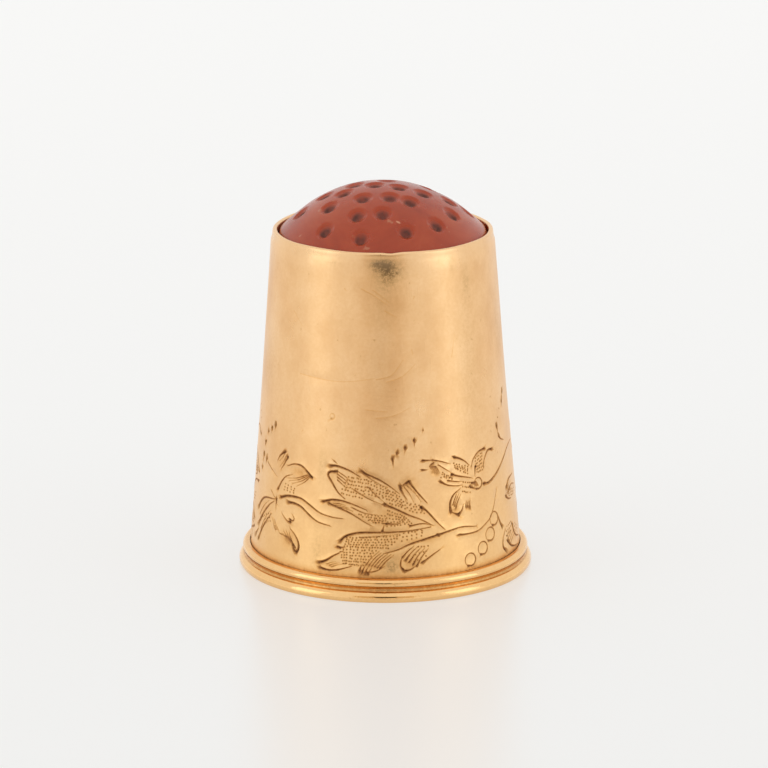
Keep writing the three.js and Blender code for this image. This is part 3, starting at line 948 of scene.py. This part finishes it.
# ---------------------------------------------------------------- materials
class Nodes:
    """A short way to lay out a material's nodes."""

    def __init__(self, name):
        self.material = bpy.data.materials.new(name)
        self.material.use_nodes = True
        self.tree = self.material.node_tree
        self.shader = self.tree.nodes["Principled BSDF"]
        self.place = self.add("ShaderNodeTexCoord").outputs["Object"]

    def add(self, kind, **settings):
        node = self.tree.nodes.new(kind)
        for name, value in settings.items():
            setattr(node, name, value)
        return node

    def feed(self, socket, value):
        if isinstance(value, bpy.types.NodeSocket):
            self.tree.links.new(value, socket)
        else:
            socket.default_value = value

    def stretched(self, scale, turn=(0, 0, 0)):
        mapping = self.add("ShaderNodeMapping")
        self.feed(mapping.inputs["Vector"], self.place)
        mapping.inputs["Rotation"].default_value = turn
        mapping.inputs["Scale"].default_value = scale
        return mapping.outputs["Vector"]

    def noise(self, scale, detail=3.0, roughness=0.5, stretch=(1, 1, 1), turn=(0, 0, 0), distortion=0.0):
        noise = self.add("ShaderNodeTexNoise")
        self.feed(noise.inputs["Vector"], self.stretched(stretch, turn))
        noise.inputs["Scale"].default_value = scale
        noise.inputs["Detail"].default_value = detail
        noise.inputs["Roughness"].default_value = roughness
        noise.inputs["Distortion"].default_value = distortion
        return noise.outputs["Fac"]

    def ramp(self, value, *stops):
        """A colour or grey ramp. Each stop is (position, colour), with a grey given as one number."""
        ramp = self.add("ShaderNodeValToRGB")
        elements = ramp.color_ramp.elements
        for index, (position, colour) in enumerate(stops):
            element = elements[index] if index < 2 else elements.new(position)
            element.position = position
            rgb = (colour,) * 3 if isinstance(colour, (int, float)) else colour
            element.color = (*rgb, 1)
        self.feed(ramp.inputs["Fac"], value)
        return ramp.outputs["Color"]

    def math(self, operation, *values):
        node = self.add("ShaderNodeMath", operation=operation)
        for socket, value in zip(node.inputs, values):
            self.feed(socket, value)
        return node.outputs[0]

    def mix(self, share, first, second, blend="MIX"):
        mix = self.add("ShaderNodeMix", data_type="RGBA", blend_type=blend)
        self.feed(mix.inputs["Factor"], share)
        for socket, value in ((mix.inputs[6], first), (mix.inputs[7], second)):
            self.feed(socket, (*value, 1) if isinstance(value, tuple) else value)
        return mix.outputs[2]

    def layer(self, name):
        return self.add("ShaderNodeAttribute", attribute_name=name).outputs["Fac"]

    def bump(self, height, distance, strength, normal=None):
        bump = self.add("ShaderNodeBump")
        self.feed(bump.inputs["Height"], height)
        bump.inputs["Distance"].default_value = distance
        bump.inputs["Strength"].default_value = strength
        if normal is not None:
            self.feed(bump.inputs["Normal"], normal)
        return bump.outputs["Normal"]


LIP_RUB_AND_HIGHLIGHT_START = (LIP_HEIGHT - 0.22) * MM     # the lip's edge is rubbed bright above this, partly worn clean and partly a painted highlight
LIP_RUB_AND_HIGHLIGHT_END = (LIP_HEIGHT - 0.08) * MM
YELLOW_TOP = 10 * MM                         # the gold is a deeper yellow below this
YELLOW_FULL = 2 * MM


def worn_gold(n, height, grain):
    """The gold's own colour: uneven tone, deeper yellow near the foot, and small brown specks."""
    tone = n.noise(420, detail=4, roughness=0.6, stretch=(1, 1, 0.7))
    tones = (0.30, (0.83, 0.495, 0.235)), (0.50, (0.91, 0.575, 0.29)), (0.74, (0.97, 0.645, 0.35))
    colour = n.ramp(tone, *tones)
    low = n.ramp(height, (YELLOW_FULL, 0.6), (YELLOW_TOP, 0.0))
    colour = n.mix(low, colour, (0.97, 0.60, 0.235))
    rub = n.noise(160, detail=5, roughness=0.65, distortion=0.6)
    colour = n.mix(n.ramp(rub, (0.58, 0.0), (0.80, 0.35)), colour, (0.84, 0.46, 0.20))
    speck = n.ramp(n.noise(2600, detail=2), (0.735, 0.0), (0.785, 0.5))
    colour = n.mix(speck, colour, (0.55, 0.27, 0.09))
    return n.mix(n.ramp(grain, (0.38, 0.0), (0.62, 0.22)), colour, (0.80, 0.44, 0.18))


def marked_gold(n, colour, smudge, dirt_and_shade, rubbed_and_highlight):
    """The gold's colour under tarnish, with dirt in the cuts, painted shade in the grooves and creases, and
    the lip's edge rubbed clean and lightened as a painted highlight.
    """
    tarnish = n.ramp(smudge, (0.0, (0.72, 0.43, 0.17)), (0.8, (0.12, 0.065, 0.022)))
    colour = n.mix(n.ramp(smudge, (0.0, 0.0), (0.6, 0.95)), colour, tarnish)
    # dark brown for dirt, and for painted shade in creases, grooves and along cut edges
    stain_and_shade_colour = n.ramp(dirt_and_shade, (0.15, (0.80, 0.40, 0.11)), (0.6, (0.33, 0.12, 0.025)), (1.0, (0.085, 0.024, 0.004)))
    colour = n.mix(n.ramp(dirt_and_shade, (0.0, 0.0), (0.35, 0.75), (1.0, 1.0)), colour, stain_and_shade_colour)
    # the lip's rubbed edge in a lighter gold, as a painted highlight line
    return n.mix(rubbed_and_highlight, colour, (0.95, 0.65, 0.375))


def gold_material(name, roughness, scratch_turn):
    """Worn 18 carat gold, with hairline scratches, marked by one layer of dirt and painted shade and by a
    layer of smudges.
    """
    n = Nodes(name)
    height = n.add("ShaderNodeSeparateXYZ")
    n.feed(height.inputs[0], n.place)
    height = height.outputs["Z"]
    grain = n.noise(5200, detail=3, roughness=0.6)
    patchy = n.ramp(n.noise(3600, detail=4, roughness=0.7), (0.28, 0.58), (0.60, 1.0))
    # dirt in the cuts, with painted shade in the crease, the grooves and along cut edges
    dirt_and_shade = n.math("MULTIPLY", n.layer("grime"), patchy)
    mottle = n.ramp(n.noise(5200, detail=5, roughness=0.75), (0.38, 0.42), (0.62, 1.0))
    smudge = n.math("MULTIPLY", n.layer("smudge"), mottle)
    rubbed_and_highlight = n.ramp(height, (LIP_RUB_AND_HIGHLIGHT_START, 0.0), (LIP_RUB_AND_HIGHLIGHT_END, 1.0))
    n.feed(n.shader.inputs["Base Color"], marked_gold(n, worn_gold(n, height, grain), smudge, dirt_and_shade, rubbed_and_highlight))
    n.feed(n.shader.inputs["Metallic"], n.ramp(dirt_and_shade, (0.4, 1.0), (1.0, 0.6)))

    scratches = n.noise(900, detail=3, roughness=0.7, stretch=(1, 1, 9), turn=scratch_turn)
    crossing = n.noise(700, detail=2, roughness=0.6, stretch=(7, 7, 1), turn=(0.5, 0.35, 0.2))
    along = n.ramp(scratches, (0.60, 0.0), (0.66, 1.0))
    hair = n.math("ADD", along, n.ramp(crossing, (0.64, 0.0), (0.68, 1.0)))
    rough = n.ramp(n.noise(300, detail=4, roughness=0.6), (0.3, roughness - 0.05), (0.7, roughness + 0.07))
    for mark, duller in ((hair, 0.05), (dirt_and_shade, 0.30), (smudge, 0.25), (rubbed_and_highlight, -0.12)):
        rough = n.math("MULTIPLY_ADD", mark, duller, rough)
    n.feed(n.shader.inputs["Roughness"], rough)
    n.feed(n.shader.inputs["Normal"], n.bump(hair, 0.000006, 0.35, n.bump(grain, 0.000004, 0.5)))
    return n.material


def stone_material():
    """Polished red-brown hardstone, a little flecked, with deeper colour in the pits, and their cores
    darkened by dirt and painted shade.
    """
    n = Nodes("red_hardstone")
    cloud = n.noise(260, detail=5, roughness=0.6, distortion=0.8)
    tones = (0.30, (0.30, 0.034, 0.007)), (0.52, (0.38, 0.050, 0.011)), (0.75, (0.44, 0.078, 0.022))
    colour = n.ramp(cloud, *tones)
    vein = n.noise(190, detail=6, roughness=0.7, stretch=(1, 1, 2.5), distortion=1.6)
    colour = n.mix(n.ramp(vein, (0.60, 0.0), (0.70, 0.45)), colour, (0.20, 0.028, 0.012))
    fleck = n.ramp(n.noise(1400, detail=2), (0.70, 0.0), (0.74, 0.8))
    colour = n.mix(fleck, colour, (0.47, 0.16, 0.08))
    colour = n.mix(n.ramp(n.layer("fleck"), (0.25, 0.0), (0.55, 0.85)), colour, (0.66, 0.30, 0.17))
    inside = n.layer("pit")
    colour = n.mix(n.ramp(inside, (0.0, 0.0), (0.18, 0.8)), colour, (0.38, 0.042, 0.004))
    patchy = n.ramp(n.noise(2400, detail=3), (0.3, 0.5), (0.6, 1.0))
    # the pits' cores darkened, by dirt and by painted shade
    dirt_and_shade = n.math("MULTIPLY", n.ramp(inside, (0.26, 0.0), (0.58, 1.0)), patchy)
    colour = n.mix(dirt_and_shade, colour, (0.115, 0.029, 0.017))
    n.feed(n.shader.inputs["Base Color"], colour)
    n.shader.inputs["Subsurface Weight"].default_value = 0.2
    n.shader.inputs["Subsurface Radius"].default_value = (1.0, 0.25, 0.12)
    n.shader.inputs["Subsurface Scale"].default_value = 0.0005
    n.shader.inputs["IOR"].default_value = 1.45
    haze = n.noise(500, detail=4, roughness=0.6)
    rough = n.ramp(haze, (0.35, 0.20), (0.75, 0.30))
    n.feed(n.shader.inputs["Roughness"], n.math("MULTIPLY_ADD", dirt_and_shade, 0.45, rough))
    ripple = n.bump(n.noise(900, detail=3), 0.00001, 0.4)
    n.feed(n.shader.inputs["Normal"], n.bump(n.noise(4500, detail=2), 0.000004, 0.4, ripple))
    return n.material


def cement_material():
    """Old setting cement: dark, gritty and matt."""
    n = Nodes("setting_cement")
    grit = n.noise(3000, detail=4, roughness=0.7)
    colour = n.ramp(grit, (0.3, (0.022, 0.012, 0.008)), (0.7, (0.085, 0.045, 0.028)))
    n.feed(n.shader.inputs["Base Color"], colour)
    n.feed(n.shader.inputs["Roughness"], n.ramp(grit, (0.3, 0.95), (0.7, 0.75)))
    n.feed(n.shader.inputs["Normal"], n.bump(grit, 0.00003, 0.8))
    return n.material


def plain_material(name, colour, roughness, specular=0.5, glow=0.0):
    """A plain surface, which can give off a little even light of its own."""
    n = Nodes(name)
    n.shader.inputs["Emission Color"].default_value = (1.0, 0.995, 0.98, 1)
    n.shader.inputs["Emission Strength"].default_value = glow
    n.shader.inputs["Base Color"].default_value = (*colour, 1)
    n.shader.inputs["Roughness"].default_value = roughness
    n.shader.inputs["Specular IOR Level"].default_value = specular
    return n.material


# ---------------------------------------------------------------- the studio, in metres
CAMERA_PLACE = (-0.000085, -0.2950, 0.0916)
CAMERA_TARGET = (-0.000085, 0.0, 0.01119)
CAMERA_LENS = 234.4
LIGHT_TARGET = (0, 0, 0.012)
CARD_TARGET = (0, 0, 0.01)
SIDE_BEARING = 64          # where the side lights stand, in degrees from the camera's direction
FLOOR_SIZE = 1.2


def aim(item, target):
    item.rotation_mode = "QUATERNION"
    item.rotation_quaternion = (Vector(target) - item.location).to_track_quat("-Z", "Y")


def add_camera():
    camera = bpy.data.objects.new("camera", bpy.data.cameras.new("camera"))
    camera.location = CAMERA_PLACE
    aim(camera, CAMERA_TARGET)
    camera.data.lens = CAMERA_LENS
    camera.data.sensor_width = 36
    camera.data.clip_start = 0.01
    bpy.context.collection.objects.link(camera)
    bpy.context.scene.camera = camera


def add_panel(name, bearing, distance, height, width, tall, power):
    """A soft box standing at a bearing from the front, facing the thimble."""
    light = bpy.data.lights.new(name, "AREA")
    light.shape = "RECTANGLE"
    light.size, light.size_y = width, tall
    light.energy = power
    light.color = (0.86, 0.97, 1.0)
    panel = bpy.data.objects.new(name, light)
    angle = math.radians(bearing)
    panel.location = (distance * math.sin(angle), -distance * math.cos(angle), height)
    aim(panel, LIGHT_TARGET)
    bpy.context.collection.objects.link(panel)


def add_sheet(name, centre, width, tall, material, facing=None):
    """A flat part of the studio, which lies level unless it faces a place."""
    mesh = bpy.data.meshes.new(name)
    x, y = width / 2, tall / 2
    mesh.from_pydata([(-x, -y, 0), (x, -y, 0), (x, y, 0), (-x, y, 0)], [], [(0, 1, 2, 3)])
    mesh.materials.append(material)
    sheet = bpy.data.objects.new(name, mesh)
    sheet.location = centre
    if facing is not None:
        aim(sheet, facing)
    bpy.context.collection.objects.link(sheet)
    return sheet


def add_card(name, centre, width, tall, material):
    """A card facing the thimble, which the camera doesn't see."""
    card = add_sheet(name, centre, width, tall, material, facing=CARD_TARGET)
    card.visible_camera = False


def add_studio():
    world = bpy.data.worlds.new("soft_white")
    world.use_nodes = True
    world.node_tree.nodes["Background"].inputs["Color"].default_value = (0.88, 0.88, 0.875, 1)
    world.node_tree.nodes["Background"].inputs["Strength"].default_value = 1.055
    bpy.context.scene.world = world
    bpy.context.scene.view_settings.view_transform = "Standard"

    lit_table = plain_material("pale_floor", (0.37, 0.37, 0.365), 0.30, glow=0.44)
    add_sheet("floor", (0, 0, 0), FLOOR_SIZE, FLOOR_SIZE, lit_table)
    for side in (-1, 1):
        add_panel(
            f"side_light_{side}", side * SIDE_BEARING, distance=0.40, height=0.14,
            width=0.20, tall=0.30, power=0.12,
        )
    grey = plain_material("grey_card", (0.82, 0.66, 0.47), 0.9, specular=0.1)
    black = plain_material("black_card", (0.01, 0.01, 0.01), 0.9, specular=0.1)
    add_card("camera_side_card", (0, -0.36, 0.10), 0.30, 0.22, grey)
    add_card("lens_card", (0, -0.315, 0.0975), 0.09, 0.09, black)


# ---------------------------------------------------------------- the whole
satin = gold_material("satin_gold", 0.31, (0, 0, 0))
polished = gold_material("polished_gold", 0.10, (0.1, 0, 0))
plain_gold = gold_material("inner_gold", 0.40, (0, 0.1, 0))
build_body(satin)
build_roll(polished)
build_bead(polished)
build_ledge(plain_gold)
build_cement(cement_material())
build_stone(stone_material())
add_camera()
add_studio()
